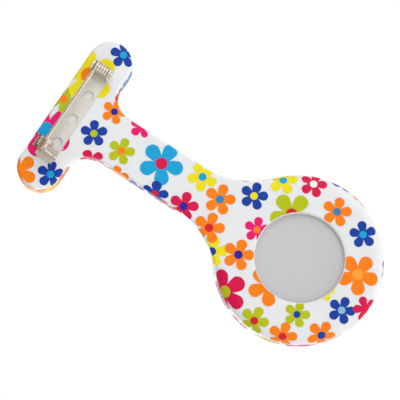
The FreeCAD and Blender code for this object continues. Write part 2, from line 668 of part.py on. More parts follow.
def motor():
    """Stepping motor: stator, core and coil; its rotor is part of the train."""
    points = [(-4.8, 9.2), (-4.8, 5.6), (1.4, 4.6), (2.3, 2.6), (4.9, 2.6), (5.6, 7.4),
              (4.8, 9.2)]
    corners = [FreeCAD.Vector(x, 0, z) for x, z in points]
    sheet = DOC.addObject("Part::Feature", "stator_sheet")
    sheet.Shape = Part.Face(Part.makePolygon(corners + corners[:1])).extrude(
        FreeCAD.Vector(0, -0.4, 0))
    place(sheet, y="-5.35", z="-head_drop")
    node(cut_all("stator_cut", sheet,
                 on_head("rotor_hole", "1.0", "5", "6", **at(ROTOR_PLACE)),
                 on_head("stator_post_hole", "0.65", "5", "6", **at(BRIDGE_SCREWS[2])),
                 block("coil_gap", "7.2", "2", "2.6", "-3.6", "-6.5", "6.9 - head_drop")),
         "stator")
    node(block("core_bar", "9.6", "0.35", "1.0", "-4.8", "-5.35", "7.7 - head_drop"),
         "coil_core")
    winding = rod("winding_drum", "0.85", "7.0", "-3.5", "-5.175", "8.2 - head_drop", ALONG_X)
    slot = block("winding_slot", "9.6", "0.35", "1.0", "-4.8", "-5.35", "7.7 - head_drop")
    node(cut("winding", winding, slot), "coil")


def electrics():
    """Circuit board with its chip and quartz can, and the battery under its clamp."""
    board = cut("board_ring", on_head("board_disc", "10.6", "plate_rear - 0.2", "plate_rear"),
                on_head("board_clear", "3.6", "plate_rear - 1", "plate_rear + 1"))
    quarter = block("board_area", "9", "2", "9", "1.8", "-plate_rear - 0.5",
                    "-head_drop - 10.7")
    node(common("board", board, quarter), "circuit_board")
    node(block("chip_block", "2", "0.6", "2", "4.2", "0.2 - plate_rear", "-head_drop - 5.6"),
         "ic_chip")
    node(rod("quartz_can", "0.75", "4.6", "2.2", "0.95 - plate_rear", "-head_drop - 7.7",
             ALONG_X), "quartz_crystal")
    spot = at(CELL_MIDDLE)
    can = on_head("cell_can", "cell_radius", "plate_rear - cell_thick + 0.15",
                  "plate_rear", **spot)
    cap = on_head("cell_cap", "cell_radius - 0.5", "plate_rear - cell_thick",
                  "plate_rear - cell_thick + 0.15", **spot)
    node(fuse("cell", can, cap), "battery")
    strip = block("clamp_strip", "9.6", "0.2", "1.3", "-8",
                  "cell_thick - plate_rear", "-head_drop - 6.85")
    holes = [on_head("clamp_hole_%d" % number, "0.3", "2.5", "4", **at(place_xz))
             for number, place_xz in enumerate(CLAMP_SCREWS)]
    node(cut_all("clamp", strip, *holes), "battery_clamp")
    holder = ring("holder_ring", "ring_outer", "ring_inner", "ring_rear", "movement_front")
    gate = block("holder_gate", "5", "2.9", "2.4", "10.5", "-5.6", "-head_drop - 1.2")
    node(cut("holder", holder, gate), "movement_ring")


def crown_and_stem():
    """Crown on its stem, the pinion that the stem's square turns, and the setting lever."""
    level = {"y": "-stem_level", "z": "-head_drop", "turn": ALONG_X}
    round_part = rod("stem_round_part", "winding_radius", "case_radius + 0.5 - 7.3", "7.3",
                     **level)
    square = block("stem_square", "2.5", "0.7", "0.7", "4.9", "-stem_level - 0.35",
                   "-head_drop - 0.35")
    groove = cut("stem_groove", rod("groove_outer", "winding_radius + 0.2", "0.4", "7.55",
                                    **level),
                 rod("groove_floor", "0.3", "2", "7", **level))
    node(cut("stem_turned", fuse("stem_blank", round_part, square), groove), "winding_stem")

    blank = rod("pinion_blank", "0.9", "1.4", "5.6", **level)
    hole = block("pinion_square", "3", "0.74", "0.74", "5", "-stem_level - 0.37",
                 "-head_drop - 0.37")
    node(cut("pinion", blank, hole), "sliding_pinion")

    lever = DOC.addObject("Part::Feature", "lever_sheet")
    stud = FreeCAD.Vector(7.75, 0, 0)
    pivot = FreeCAD.Vector(LEVER_PIVOT[0], 0, LEVER_PIVOT[1])
    reach = pivot.distanceToPoint(stud)
    arm = Part.makeBox(0.6, 0.2, reach, FreeCAD.Vector(-0.3, 0, 0))
    arm.rotate(FreeCAD.Vector(), Y_AXIS, math.degrees(math.atan2(0.5, 2.6)))
    arm.translate(stud)
    lever.Shape = arm.multiFuse([
        Part.makeCylinder(0.33, 0.2, stud, Y_AXIS),
        Part.makeCylinder(0.6, 0.2, pivot, Y_AXIS),
        Part.makeCylinder(0.15, 0.45, stud, Y_AXIS),
    ]).cut(Part.makeCylinder(0.33, 1, pivot - Y_AXIS * 0.5, Y_AXIS)).removeSplitter()
    place(lever, y="-5.55", z="-head_drop")
    node(lever, "setting_lever")

    knob = rod("crown_knob", "1.8", "1.4", "case_radius + 0.15", **level)
    knob = rounded("crown_turned", knob, "crown_round", lambda edge: edge.Length > 6)
    flutes = []
    for number in range(20):
        angle = 2 * math.pi * number / 20
        flutes.append(rod("crown_flute_%d" % number, "0.12", "2", "case_radius",
                          "-stem_level + %.4f" % (1.84 * math.sin(angle)),
                          "-head_drop + %.4f" % (1.84 * math.cos(angle)), ALONG_X))
    socket = rod("crown_socket", "winding_radius", "0.35", "case_radius + 0.15", **level)
    node(cut_all("crown_cut", knob, socket, *flutes), "crown")
    node(cut("crown_seal", rod("seal_outer", "winding_radius + 0.35", "1.0", "15.4", **level),
             rod("seal_inner", "winding_radius + 0.03", "2.0", "15", **level)),
         "crown_gasket")


def write_parts():
    """Check every object, then write each sub-part under its own name."""
    DOC.recompute()
    for thing in DOC.Objects:
        if "Invalid" in thing.State or "Error" in thing.State:
            raise SystemExit("%s failed: %s" % (thing.Name, thing.State))
    os.makedirs("parts", exist_ok=True)
    for thing in NODES:
        if thing.Shape.isNull() or not thing.Shape.isValid():
            raise SystemExit(thing.Label + " has no valid shape")
        if not thing.Shape.Solids:
            raise SystemExit(thing.Label + " has no solid")
        thing.Shape.exportStep("parts/" + thing.Label + ".step")
        print("%-18s %2d solid %9.3f mm3" % (thing.Label, len(thing.Shape.Solids),
                                            thing.Shape.Volume))


silicone()
pin_plate()
hinge_rivet()
pin_needle()
catch()
watch_case()
dial_and_hands()
going_train()
motion_works()
main_plate()
train_bridge()
motor()
electrics()
crown_and_stem()
write_parts()
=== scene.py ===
"""A nurse's fob watch: flower-printed silicone hanger, bar pin and quartz watch head.

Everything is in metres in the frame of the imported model: +Z up the stem towards the
T-shaped top, -Y out of the dial, +Y out of the back, where the bar pin is.
"""
import json
import math

import bmesh
import bpy
from mathutils import Matrix, Vector
from mathutils.bvhtree import BVHTree


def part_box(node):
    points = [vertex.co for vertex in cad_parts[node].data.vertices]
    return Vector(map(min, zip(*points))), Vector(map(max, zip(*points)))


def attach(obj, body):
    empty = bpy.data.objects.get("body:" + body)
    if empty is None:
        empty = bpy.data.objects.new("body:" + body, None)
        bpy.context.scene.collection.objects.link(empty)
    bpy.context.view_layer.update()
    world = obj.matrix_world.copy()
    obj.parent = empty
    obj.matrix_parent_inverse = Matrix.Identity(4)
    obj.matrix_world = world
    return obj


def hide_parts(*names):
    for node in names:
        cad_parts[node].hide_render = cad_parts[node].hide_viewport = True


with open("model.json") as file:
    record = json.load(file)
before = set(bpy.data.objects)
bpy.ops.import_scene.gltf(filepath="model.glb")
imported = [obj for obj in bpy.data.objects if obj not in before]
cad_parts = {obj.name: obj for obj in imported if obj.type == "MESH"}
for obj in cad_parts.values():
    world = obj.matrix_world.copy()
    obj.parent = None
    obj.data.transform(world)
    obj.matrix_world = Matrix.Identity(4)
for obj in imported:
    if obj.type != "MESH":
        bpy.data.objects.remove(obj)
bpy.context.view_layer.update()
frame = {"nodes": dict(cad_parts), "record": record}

MM = 0.001
CASE_LOW, CASE_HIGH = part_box("watch_case")
HEAD_Z = (CASE_LOW.z + CASE_HIGH.z) / 2
HANGER_LOW, HANGER_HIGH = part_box("silicone_body")
DIAL_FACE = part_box("dial")[0].y


# ---------------------------------------------------------------- materials

def linear(hex_colour):
    """An sRGB hex colour as the linear RGBA that the shaders want."""
    channels = [int(hex_colour[place:place + 2], 16) / 255 for place in (1, 3, 5)]
    return [value / 12.92 if value <= 0.04045 else ((value + 0.055) / 1.055) ** 2.4
            for value in channels] + [1.0]


def add(material, kind, settings=None, **links):
    """Add a node with its settings, and link its named inputs from other sockets."""
    made = material.node_tree.nodes.new(kind)
    for name, value in (settings or {}).items():
        if name in made.inputs:
            made.inputs[name].default_value = value
        else:
            setattr(made, name, value)
    for name, source in links.items():
        material.node_tree.links.new(source, made.inputs[name.replace("_", " ")])
    return made


def new_material(name, colour, metallic, roughness, **settings):
    """A named material whose principled shader has its constants set on its sockets."""
    material = bpy.data.materials.new(name)
    material.use_nodes = True
    shader = material.node_tree.nodes["Principled BSDF"]
    shader.inputs["Base Color"].default_value = linear(colour)
    shader.inputs["Metallic"].default_value = metallic
    shader.inputs["Roughness"].default_value = roughness
    for name_of_input, value in settings.items():
        shader.inputs[name_of_input.replace("_", " ")].default_value = value
    return material, shader


def link(material, source, shader, name):
    material.node_tree.links.new(source, shader.inputs[name])


def mottle(material, shader, low, high, size_mm, spread=0.06, bump=0.0):
    """Vary a surface between two colours, and its roughness, over spots of a real size."""
    place = add(material, "ShaderNodeTexCoord")
    noise = add(material, "ShaderNodeTexNoise", {"Scale": 1 / (size_mm * MM), "Detail": 4.0},
                Vector=place.outputs["Object"])
    blend = add(material, "ShaderNodeMix", {"data_type": "RGBA"})
    blend.inputs["A"].default_value = linear(low)
    blend.inputs["B"].default_value = linear(high)
    material.node_tree.links.new(noise.outputs["Fac"], blend.inputs["Factor"])
    link(material, blend.outputs["Result"], shader, "Base Color")
    middle = shader.inputs["Roughness"].default_value
    rough = add(material, "ShaderNodeMapRange",
                {"To Min": middle - spread, "To Max": middle + spread},
                Value=noise.outputs["Fac"])
    link(material, rough.outputs["Result"], shader, "Roughness")
    if bump:
        raised = add(material, "ShaderNodeBump", {"Distance": bump * MM, "Strength": 0.6},
                     Height=noise.outputs["Fac"])
        link(material, raised.outputs["Normal"], shader, "Normal")
    return material


def moulded_silicone():
    """Liquid silicone rubber from a polished mould: milky white, soft sheen, fine orange peel."""
    material, shader = new_material("moulded_silicone", "#E9EBEC", 0.0, 0.36, IOR=1.41,
                                    Sheen_Weight=0.08, Subsurface_Weight=0.12)
    shader.inputs["Subsurface Radius"].default_value = (1.2, 1.1, 1.0)
    shader.inputs["Subsurface Scale"].default_value = 1.0 * MM
    return mottle(material, shader, "#E4E7E9", "#EDEEEF", 4.0, 0.04, 0.01)


def printed_ink(name, colour, deep):
    """Transfer-printed ink soaked into the silicone: even, strong colour with a soft sheen."""
    material, shader = new_material("printed_ink_" + name, colour, 0.0, 0.42, IOR=1.41,
                                    Specular_IOR_Level=0.3)
    return mottle(material, shader, deep, colour, 1.1, 0.04)


def nickel_plate():
    """Bright nickel on pressed steel: mirror-like but softened, with a warm cast."""
    material, shader = new_material("bright_nickel_plate", "#DACFBF", 1.0, 0.14)
    return mottle(material, shader, "#CBBDA9", "#E6DDD0", 1.6, 0.05)


def satin_nickel():
    """Tumbled nickel plate on the pin's base: pale warm grey, broad soft reflections."""
    material, shader = new_material("satin_nickel_plate", "#DEDAD0", 0.75, 0.44)
    return mottle(material, shader, "#D6D1C6", "#E4E1D9", 1.2, 0.08, 0.006)


def drawn_wire():
    """Drawn spring wire, nickel plated: bright along its length, faint drawing lines."""
    material, shader = new_material("drawn_spring_wire", "#DDD4C6", 1.0, 0.18)
    place = add(material, "ShaderNodeTexCoord")
    stretch = add(material, "ShaderNodeMapping", {"Scale": (60.0, 9000.0, 9000.0)},
                  Vector=place.outputs["Object"])
    lines = add(material, "ShaderNodeTexNoise", {"Scale": 1.0, "Detail": 2.0},
                Vector=stretch.outputs["Vector"])
    rough = add(material, "ShaderNodeMapRange", {"To Min": 0.12, "To Max": 0.26},
                Value=lines.outputs["Fac"])
    link(material, rough.outputs["Result"], shader, "Roughness")
    return material


def satin_case_back():
    """Bead-blasted stainless steel: flat mid grey with almost no reflection."""
    material, shader = new_material("blasted_steel_back", "#CBC9CB", 0.35, 0.62)
    return mottle(material, shader, "#C9C7C9", "#CDCBCD", 0.35, 0.04, 0.003)


def polished_case():
    """Polished chrome-plated zinc alloy, with the faint waves of a buffed casting."""
    material, shader = new_material("polished_chrome_plate", "#D8D8D9", 1.0, 0.1)
    return mottle(material, shader, "#D0D0D2", "#DEDEDF", 2.5, 0.03, 0.002)


def mineral_glass():
    """Flat mineral glass, clear with the slightest green."""
    material, _ = new_material("mineral_glass", "#F6FBF8", 0.0, 0.02, IOR=1.52,
                               Transmission_Weight=1.0)
    return material


def dial_lacquer():
    """White lacquer on brass, sprayed and baked: satin, very slightly warm."""
    material, shader = new_material("white_dial_lacquer", "#F2F1EC", 0.0, 0.4, IOR=1.5)
    return mottle(material, shader, "#EFEEE8", "#F4F3EF", 0.8, 0.04, 0.001)


def lacquer(name, deep, colour):
    """Gloss lacquer on a stamped hand or printed on the dial: wet-looking, barely uneven."""
    material, shader = new_material("lacquer_" + name, colour, 0.0, 0.28, IOR=1.5,
                                    Coat_Weight=0.4, Coat_Roughness=0.1)
    return mottle(material, shader, deep, colour, 0.5, 0.04)


def metal(name, low, high, roughness):
    """A plain movement metal with the light cloud that rolling and handling leave."""
    material, shader = new_material(name, high, 1.0, roughness)
    return mottle(material, shader, low, high, 0.9, 0.06, 0.002)


def plastic(name, low, high, roughness):
    """A moulded plastic or rubber with a fine matt grain."""
    material, shader = new_material(name, high, 0.0, roughness, IOR=1.5)
    return mottle(material, shader, low, high, 0.25, 0.05, 0.004)


NODE_FINISHES = {
    "silicone": moulded_silicone(),
    "nickel_plate": satin_nickel(),
    "spring_wire": drawn_wire(),
    "nickel_small": nickel_plate(),
    "case_metal": polished_case(),
    "case_back_steel": satin_case_back(),
    "mineral_glass": mineral_glass(),
    "seal_rubber": plastic("black_nitrile_rubber", "#0B0B0C", "#17171A", 0.6),
    "dial_enamel": dial_lacquer(),
    "hand_black": lacquer("black", "#0B0B0D", "#121214"),
    "hand_red": lacquer("red", "#BC1218", "#CC1A20"),
    "holder_plastic": plastic("white_acetal", "#DCDBD4", "#E8E7E2", 0.5),
    "movement_brass": metal("gilt_brass", "#B98E3E", "#D6AE5B", 0.3),
    "wheel_resin": plastic("ivory_wheel_resin", "#D6D1BE", "#E4E0D0", 0.45),
    "magnet": metal("sintered_magnet", "#3A3A3F", "#55555B", 0.5),
    "movement_steel": metal("satin_steel", "#9C9CA0", "#B8B8BC", 0.32),
    "soft_iron": metal("nickel_iron_sheet", "#8A8C90", "#A2A4A8", 0.4),
    "copper_wire": metal("enamelled_copper_winding", "#9A4A22", "#C26A38", 0.3),
    "board_laminate": plastic("green_solder_mask", "#0C4A24", "#12602F", 0.4),
    "chip_resin": plastic("black_epoxy", "#0C0C0D", "#161618", 0.5),
    "can_tin": metal("tinned_can", "#A8A8AA", "#C6C6C8", 0.28),
}


def finish_nodes():
    """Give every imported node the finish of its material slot; the catch is bright plated."""
    for entry in frame["record"]["subparts"]:
        mesh = frame["nodes"][entry["node"]].data
        slot = "nickel_small" if entry["node"] == "catch_housing" else entry["material_slot"]
        mesh.materials.clear()
        mesh.materials.append(NODE_FINISHES[slot])


# ---------------------------------------------------------------- mesh help

RIM_STEPS = 6
SPIN_STEPS = 160

def at(x, depth, height):
    """A point given in millimetres: right, forwards of the back face, and up."""
    return Vector((x * MM, -depth * MM, height * MM))


def piece(name, shape, body, slot, *finishes, smooth=40.0):
    """Turn a finished bmesh into a named piece on its body, creased past an angle."""
    mesh = bpy.data.meshes.new(name)
    shape.to_mesh(mesh)
    shape.free()
    made = bpy.data.objects.new(name, mesh)
    bpy.context.scene.collection.objects.link(made)
    for finish in finishes:
        mesh.materials.append(finish)
    mesh.shade_smooth()
    mesh.set_sharp_from_angle(angle=math.radians(smooth))
    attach(made, body)
    return made


def rounded_outline(shape, corners, steps):
    """A closed loop through (place, round in mm) corners, each rounded by its own amount."""
    points = [shape.verts.new(place) for place, _ in corners]
    for this, following in zip(points, points[1:] + points[:1]):
        shape.edges.new((this, following))
    rounds = {}
    for vertex, (_, radius) in zip(points, corners):
        if radius:
            rounds.setdefault(radius, []).append(vertex)
    before = set(shape.verts) - set(points)
    for radius, vertices in rounds.items():
        bmesh.ops.bevel(shape, geom=vertices, offset=radius * MM, affect="VERTICES",
                        segments=steps, profile=0.5, material=-1)
    return [vertex for vertex in shape.verts if vertex not in before]


def slab(shape, corners, front, edge_round, steps):
    """A flat slab from the back face to a depth in mm, with both its rims rounded."""
    outline = rounded_outline(shape, [(at(x, 0, z), radius) for x, z, radius in corners], steps)
    edges = [edge for edge in shape.edges if all(end in outline for end in edge.verts)]
    face = bmesh.ops.contextual_create(shape, geom=edges)["faces"]
    grown = bmesh.ops.extrude_face_region(shape, geom=face)["geom"]
    far = [item for item in grown if isinstance(item, bmesh.types.BMVert)]
    bmesh.ops.translate(shape, verts=far, vec=(0, -front * MM, 0))
    faces = list({side for vertex in outline + far for side in vertex.link_faces})
    bmesh.ops.recalc_face_normals(shape, faces=faces)
    rims = [edge for edge in shape.edges
            if all(end in outline for end in edge.verts) or all(end in far for end in edge.verts)]
    bmesh.ops.bevel(shape, geom=rims, offset=edge_round * MM, affect="EDGES",
                    segments=RIM_STEPS, profile=0.5, material=-1, clamp_overlap=True)


def turned(shape, corners):
    """A ring or disc turned about the head's axis from (radius, depth, round) corners."""
    loop = rounded_outline(
        shape, [(at(radius, depth, 0) + Vector((0, 0, HEAD_Z)), fillet)
                for radius, depth, fillet in corners], RIM_STEPS)
    edges = [edge for edge in shape.edges if all(end in loop for end in edge.verts)]
    bmesh.ops.spin(shape, geom=loop + edges, cent=(0, 0, HEAD_Z), axis=(0, 1, 0), dvec=(0, 0, 0),
                   angle=math.tau, steps=SPIN_STEPS, use_merge=True, use_duplicate=False)
    bmesh.ops.remove_doubles(shape, verts=shape.verts, dist=0.001 * MM)
    bmesh.ops.recalc_face_normals(shape, faces=shape.faces)


# ---------------------------------------------------------------- silicone hanger

BAR_MIDDLE = -0.2
BAR_HALF_LENGTH = HANGER_HIGH.x / MM
BAR_HALF_HEIGHT = 5.55
BAR_DEPTH = 7.2
STEM_HALF = 6.3
STEM_DEPTH = 4.8
HEAD_MM = HEAD_Z / MM
RADIUS_MM = 21.0
HEAD_DEPTH = 10.4
WINDOW_MM = 11.0
MOUTH_MM = 15.8
POCKET_MM = 17.2
MOUTH_DEPTH = 9.3
WINDOW_THICK = 1.4
VOXEL_MM = 0.36
SOFTENING = 5
PLATE_LOW, PLATE_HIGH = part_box("pin_plate")
SEAT_EDGE = 0.3 * MM
SEAT_SINK = 0.02 * MM
BACK_SKIN = -1.0 * MM
FRONT_SKIN = -9.0 * MM


def hanger_shape(open_head):
    """The T-bar, the stem and the head as overlapping closed solids."""
    shape = bmesh.new()
    ends, half = BAR_HALF_LENGTH, BAR_HALF_HEIGHT
    slab(shape, [(-ends, BAR_MIDDLE - half, half - 0.01), (ends, BAR_MIDDLE - half, half - 0.01),
                 (ends, BAR_MIDDLE + half, half - 0.01), (-ends, BAR_MIDDLE + half, half - 0.01)],
         BAR_DEPTH, 2.2, 20)
    under = BAR_MIDDLE - half
    # Down one side: fillet under the bar, straight strap, flare onto the head, end inside it.
    right = [(13.5, -4.0, 0), (13.5, under, 0), (STEM_HALF, under, STEM_HALF - 0.05),
             (STEM_HALF, HEAD_MM + 21.82, 8.6), (13.08, HEAD_MM + 16.42, 0),
             (11.6, HEAD_MM + 14.9, 0), (6.4, HEAD_MM + 17.7, 0)]
    left = [(-x, z, radius) for x, z, radius in reversed(right)]
    slab(shape, right + [(0, HEAD_MM + 18.8, 0)] + left, STEM_DEPTH, 1.3, 14)
    outside = [(RADIUS_MM, 0, 2.4), (RADIUS_MM, HEAD_DEPTH, 2.4)]
    pocket = [(MOUTH_MM, HEAD_DEPTH, 0.4), (MOUTH_MM, MOUTH_DEPTH, 0),
              (POCKET_MM, MOUTH_DEPTH, 0),
              (POCKET_MM, WINDOW_THICK, 0), (WINDOW_MM, WINDOW_THICK, 0), (WINDOW_MM, 0, 0.3)]
    head = bmesh.new()
    turned(head, outside + (pocket if open_head else [(0, HEAD_DEPTH, 0), (0, 0, 0)]))
    spun = bpy.data.meshes.new("pouch")
    head.to_mesh(spun)
    head.free()
    shape.from_mesh(spun)
    bmesh.ops.recalc_face_normals(shape, faces=shape.faces)
    return shape


def moulded(shape, name):
    """Melt the overlapping solids into one moulding, with soft edges where they meet."""
    hanger = piece(name, shape, "hanger", "silicone", NODE_FINISHES["silicone"])
    remesh = hanger.modifiers.new("moulding", "REMESH")
    remesh.mode = "VOXEL"
    remesh.voxel_size = VOXEL_MM * MM
    bpy.context.view_layer.update()
    skin = bpy.data.meshes.new_from_object(hanger.evaluated_get(
        bpy.context.evaluated_depsgraph_get()))
    hanger.modifiers.clear()
    softened = bmesh.new()
    softened.from_mesh(skin)
    for _ in range(SOFTENING):
        bmesh.ops.smooth_vert(softened, verts=softened.verts, factor=0.5,
                              use_axis_x=True, use_axis_y=True, use_axis_z=True)
    return hanger, softened


def under_plate(place):
    """Whether a place on the back is covered by the pin's plate."""
    return (PLATE_LOW.x + SEAT_EDGE < place.x < PLATE_HIGH.x - SEAT_EDGE
            and PLATE_LOW.z + SEAT_EDGE < place.z < PLATE_HIGH.z - SEAT_EDGE
            and place.y > BACK_SKIN)


def silicone_hanger():
    """One moulding: a T-bar for the pin, a strap-like stem and the pouch for the watch."""
    hanger, softened = moulded(hanger_shape(True), "silicone_hanger")
    for vertex in softened.verts:
        if under_plate(vertex.co):
            vertex.co.y = PLATE_LOW.y - SEAT_SINK
    softened.to_mesh(hanger.data)
    softened.free()
    hanger.data.shade_smooth()
    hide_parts("silicone_body")


def print_form():
    """The moulding with its window and mouth closed, which the print is wrapped round."""
    form, softened = moulded(hanger_shape(False), "print_form")
    skin = BVHTree.FromBMesh(softened)
    softened.free()
    bpy.data.objects.remove(form)
    return skin


# ---------------------------------------------------------------- flower print

INKS = {
    "cobalt": printed_ink("cobalt", "#0840A8", "#063898"),
    "sky": printed_ink("sky", "#0CA9DE", "#0A9BD2"),
    "pink": printed_ink("pink", "#F40C74", "#E80468"),
    "crimson": printed_ink("crimson", "#E0044E", "#D20045"),
    "orange": printed_ink("orange", "#FF8800", "#FC7A00"),
    "light_orange": printed_ink("light_orange", "#FFA63C", "#FB9A2C"),
    "yellow": printed_ink("yellow", "#F5E60A", "#ECDA00"),
    "lime": printed_ink("lime", "#BEC800", "#B2BC00"),
    "violet": printed_ink("violet", "#2E1E9C", "#261690"),
    "red": printed_ink("red", "#DC1C34", "#D0142C"),
    "white": printed_ink("white", "#F2F3F4", "#ECEDEE"),
    "pale_blue": printed_ink("pale_blue", "#8FC4E4", "#84B9DC"),
    "steel_blue": printed_ink("steel_blue", "#4585B6", "#3C7AAC"),
}
INK_ORDER = list(INKS)

# Each row is a flower on the back: across, up, petal reach (all mm), petals, middle, turn.
BACK_FLOWERS = [
    (7.3, 3.7, 7.2, "pink", "sky", 44), (-1.6, 4.2, 3.5, "lime", "orange", 24),
    (-10.1, 2.5, 7.0, "yellow", "orange", -20), (16.0, -3.7, 3.4, "cobalt", "sky", -6),
    (-19.2, -2.0, 3.4, "cobalt", "sky", -12), (20.0, 3.8, 4.5, "orange", "orange", 28),
    (1.6, -6.9, 3.4, "cobalt", "lime", -12), (-5.8, -8.1, 3.2, "orange", "violet", 9),
    (1.6, -15.0, 3.4, "lime", "orange", 7), (-6.6, -15.8, 2.8, "pink", "pink", 0),
    (-1.2, -25.0, 5.5, "sky", "crimson", 21), (7.4, -27.8, 3.4, "cobalt", "red", 0),
    (4.8, -35.4, 3.7, "crimson", "violet", 3), (-3.9, -35.3, 3.7, "yellow", "sky", -40),
    (-1.5, -41.9, 3.9, "orange", "steel_blue", 4), (5.9, -43.5, 3.9, "orange", "red", 5),
    (11.2, -46.7, 3.9, "yellow", "cobalt", 0), (-6.8, -48.5, 3.5, "cobalt", "yellow", 3),
    (7.6, -53.1, 3.9, "orange", "violet", 5), (-0.1, -53.6, 3.2, "pink", "orange", -4),
    (18.5, -54.3, 5.6, "crimson", "lime", 38), (-14.6, -51.9, 3.7, "yellow", "sky", 0),
    (-8.0, -58.7, 5.5, "lime", "red", 24), (-17.5, -59.2, 3.4, "crimson", "white", 5),
    (19.4, -65.0, 3.6, "lime", "red", 12), (10.1, -63.3, 5.0, "orange", "orange", 20),
    (-14.6, -67.7, 3.7, "orange", "steel_blue", 2), (19.3, -73.1, 3.6, "orange", "red", 6),
    (12.2, -72.9, 3.2, "lime", "cobalt", 5), (-13.3, -76.1, 3.4, "cobalt", "sky", -20),
    (-4.2, -80.2, 5.1, "orange", "light_orange", 22), (13.6, -81.0, 3.6, "orange", "cobalt", 15),
    (5.4, -81.5, 3.4, "cobalt", "pale_blue", 8), (2.0, -87.3, 3.1, "crimson", "crimson", 40),
    (3.6, -75.4, 2.6, "yellow", "yellow", 0),
]

# The front carries the same print: across, up, reach, petals, middle, turn.
FRONT_FLOWERS = [
    (-14.5, 2.3, 5.0, "sky", "crimson", 15), (-5.0, 1.3, 4.2, "orange", "violet", -10),
    (3.6, 2.6, 3.4, "lime", "orange", 20), (12.2, 0.3, 5.2, "pink", "sky", -25),
    (19.0, 2.8, 3.4, "yellow", "orange", 10), (-19.6, -3.2, 3.0, "cobalt", "sky", 0),
    (5.0, -4.4, 2.8, "cobalt", "lime", 30), (-0.5, -8.7, 3.6, "crimson", "yellow", 5),
    (4.6, -13.8, 3.0, "orange", "orange", 12), (-3.8, -15.8, 3.4, "sky", "red", -18),
    (2.2, -21.2, 3.9, "yellow", "cobalt", 8), (-4.0, -26.6, 3.3, "pink", "orange", 28),
    (3.4, -29.8, 3.2, "cobalt", "sky", -6), (-1.0, -35.6, 4.2, "lime", "red", 16),
    (5.8, -40.0, 3.2, "orange", "violet", 0), (-5.0, -42.2, 3.4, "crimson", "white", 22),
]
RIM_FLOWERS = [("orange", "violet"), ("lime", "red"), ("cobalt", "sky"), ("crimson", "lime"),
               ("yellow", "sky"), ("pink", "orange"), ("sky", "crimson"), ("orange", "steel_blue")]

# Flowers on the side walls: across, forwards, up, reach and inks. The across value is used
# again as the turn, in radians.
SIDE_FLOWERS = [
    (-11.8, 3.0, -43.3, 3.0, "sky", "sky"), (-24.0, 3.6, -64.9, 3.4, "cobalt", "cobalt"),
    (-24.0, 3.4, -71.6, 3.0, "orange", "orange"), (-11.5, 3.6, -89.0, 3.0, "sky", "sky"),
    (9.0, 1.9, -17.6, 3.2, "orange", "orange"), (8.8, 1.4, -10.6, 3.3, "crimson", "crimson"),
    (-9.4, 3.4, -7.4, 3.8, "red", "orange"), (-6.3, 3.2, -13.4, 3.4, "orange", "red"),
    (23.0, 4.4, -2.2, 3.6, "orange", "yellow"), (19.2, 4.8, -8.0, 3.4, "yellow", "orange"),
    (14.0, 4.6, -8.0, 3.2, "orange", "red"), (8.0, 3.6, -22.0, 3.2, "violet", "sky"),
    (8.0, 3.6, -31.0, 3.3, "crimson", "lime"), (-8.0, 3.4, -24.5, 3.0, "lime", "orange"),
    (-8.0, 3.4, -32.6, 3.2, "cobalt", "sky"), (-23.0, 4.4, 1.6, 3.4, "yellow", "sky"),
    (-14.0, 4.4, 8.0, 3.3, "orange", "violet"), (0.0, 4.4, 8.0, 3.2, "crimson", "yellow"),
    (12.0, 4.6, 8.0, 3.4, "cobalt", "lime"), (-15.0, 4.4, -8.0, 3.0, "sky", "crimson"),
]

PETALS = 5
PETAL_OUT = 0.665
PETAL_ROUND = 0.335
NOTCH = 0.36
RAYS = 70
MIDDLE = 0.27
RING_GAP = 0.42
INK_LIFT = 0.045
INK_STEP = 0.004
MARCH_MM = 0.8
INK_LEVELS = 4
PRINT_SINK = 0.2 * MM
WINDOW_MARGIN = 0.3
MOUTH_MARGIN = 0.4
RIM_COUNT = 16
RIM_FORWARD = 7.6
RIM_OUT = 23.0
STEM_ARC = 0.86


def petal_reach(angle):
    """How far the outline is from the middle, for a reach of one: round petals, sharp notches."""
    pitch = math.tau / PETALS
    off = abs((angle + pitch / 2) % pitch - pitch / 2)
    across = PETAL_OUT * math.sin(off)
    if across < PETAL_ROUND:
        return PETAL_OUT * math.cos(off) + math.sqrt(PETAL_ROUND ** 2 - across ** 2)
    flank = math.asin(PETAL_ROUND / PETAL_OUT)
    part = (off - flank) / (pitch / 2 - flank)
    return PETAL_OUT * math.cos(flank) * (1 - part) + NOTCH * part


def walk(skin, start, heading, distance):
    """Follow the silicone's surface from a place, on a heading, for a distance in metres."""
    place, normal = start
    steps = max(1, math.ceil(distance / (MARCH_MM * MM)))
    for _ in range(steps):
        heading = (heading - normal * heading.dot(normal)).normalized()
        place, normal, _, _ = skin.find_nearest(place + heading * (distance / steps))
    return (place, normal), heading


def lips(place):
    """Hold the print off the rear window and the front opening, and sink it under the pin."""
    if under_plate(place):
        return Vector((place.x, PLATE_LOW.y - PRINT_SINK, place.z))
    on_back = place.y > BACK_SKIN
    nearest = (WINDOW_MM + WINDOW_MARGIN if on_back else MOUTH_MM + MOUTH_MARGIN) * MM
    offset = Vector((place.x, 0, place.z - HEAD_Z))
    if offset.length >= nearest or FRONT_SKIN < place.y < BACK_SKIN:
        return place
    pushed = offset.normalized() * nearest
    return Vector((pushed.x, place.y, HEAD_Z + pushed.z))


